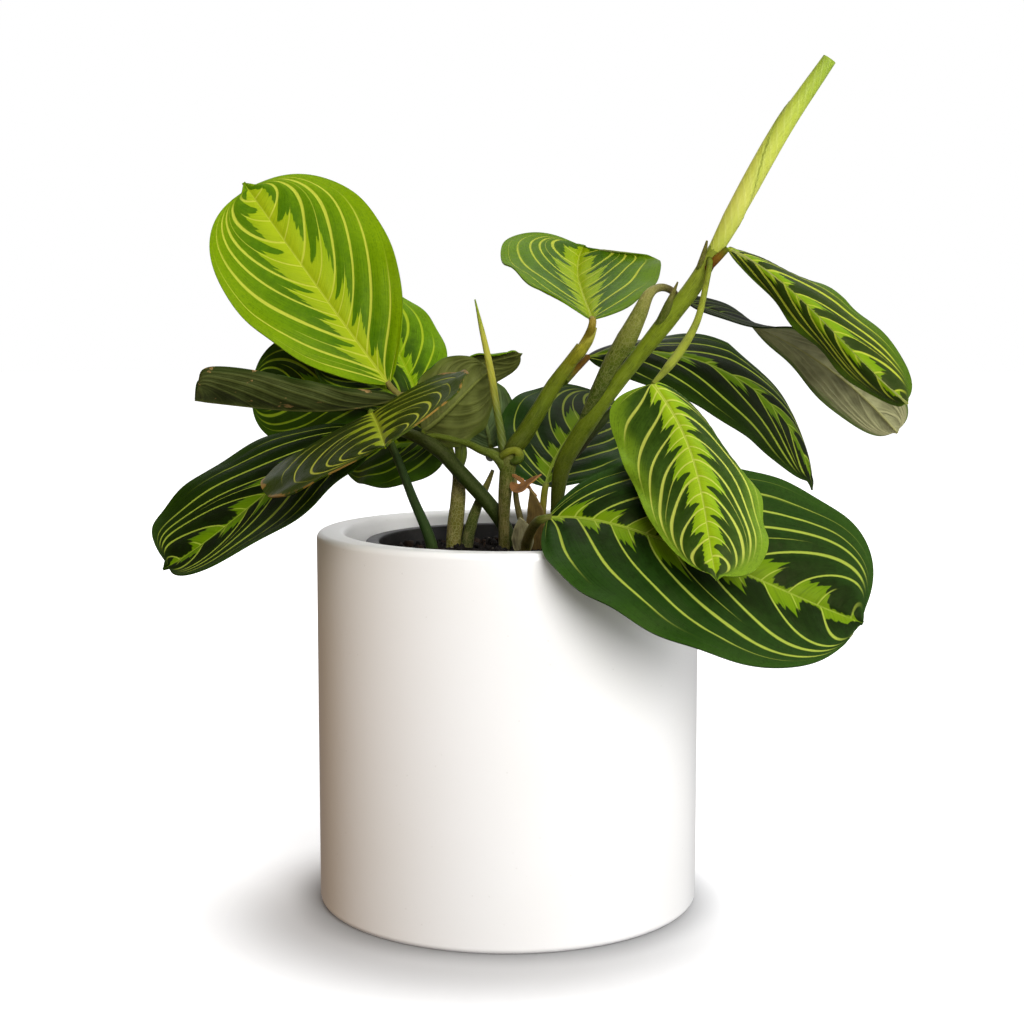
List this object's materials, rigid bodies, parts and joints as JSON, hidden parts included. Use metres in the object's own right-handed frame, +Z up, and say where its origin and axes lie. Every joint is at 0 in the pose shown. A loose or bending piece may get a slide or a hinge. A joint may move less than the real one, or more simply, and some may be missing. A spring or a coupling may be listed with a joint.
{
  "type": "potted prayer plant",
  "caption": "Prayer plant with broad patterned leaves on long stalks, in a nursery pot inside a plain white ceramic cylinder.",
  "frame": {"origin": "centre of the planter's flat underside", "axes": "+Z up, -Y towards the front of the plant, +X to its right seen from the front"},
  "size_m": [0.2978, 0.1794, 0.3275],
  "materials": {
    "planter": "satin glaze",
    "nursery_pot": "satin black",
    "soil": "loose and rough",
    "leaf_bright": "waxy, satin",
    "leaf_dark": "waxy, satin",
    "leaf_underside": "matt",
    "stalk_green": "satin",
    "stalk_dark": "satin",
    "dry_sheath": "dry and matt"
  },
  "bodies": {
    "root": {"planter": "planter", "nursery_pot": "nursery_pot", "soil": "soil", "leaf_tall": "leaf_bright", "leaf_tall_back": "leaf_bright", "leaf_level": "leaf_bright", "leaf_heart": "leaf_bright", "leaf_hanging": "leaf_bright", "leaf_upper_right": "leaf_bright", "rolled_leaf": "leaf_bright", "spear_leaf": "leaf_bright", "leaf_low_left": "leaf_dark", "leaf_front_left": "leaf_dark", "leaf_left_back": "leaf_dark", "leaf_left_inner": "leaf_dark", "leaf_under": "leaf_dark", "leaf_arched": "leaf_dark", "leaf_big_right": "leaf_dark", "leaf_behind": "leaf_dark", "leaf_scrolled": "leaf_underside", "leaf_olive": "leaf_underside", "leaf_blue": "leaf_underside", "leaf_taupe": "leaf_underside", "stem_left": "stalk_green", "stem_centre": "stalk_green", "stem_right": "stalk_green", "stalk_big_right": "stalk_green", "stalk_behind": "stalk_green", "stem_low": "stalk_dark", "stalk_front_left": "stalk_dark", "stem_side": "stalk_dark", "stem_thin": "stalk_dark", "sheath_grey": "dry_sheath", "sheath_brown": "dry_sheath", "sheath_curled": "dry_sheath"}
  },
  "joints": []
}
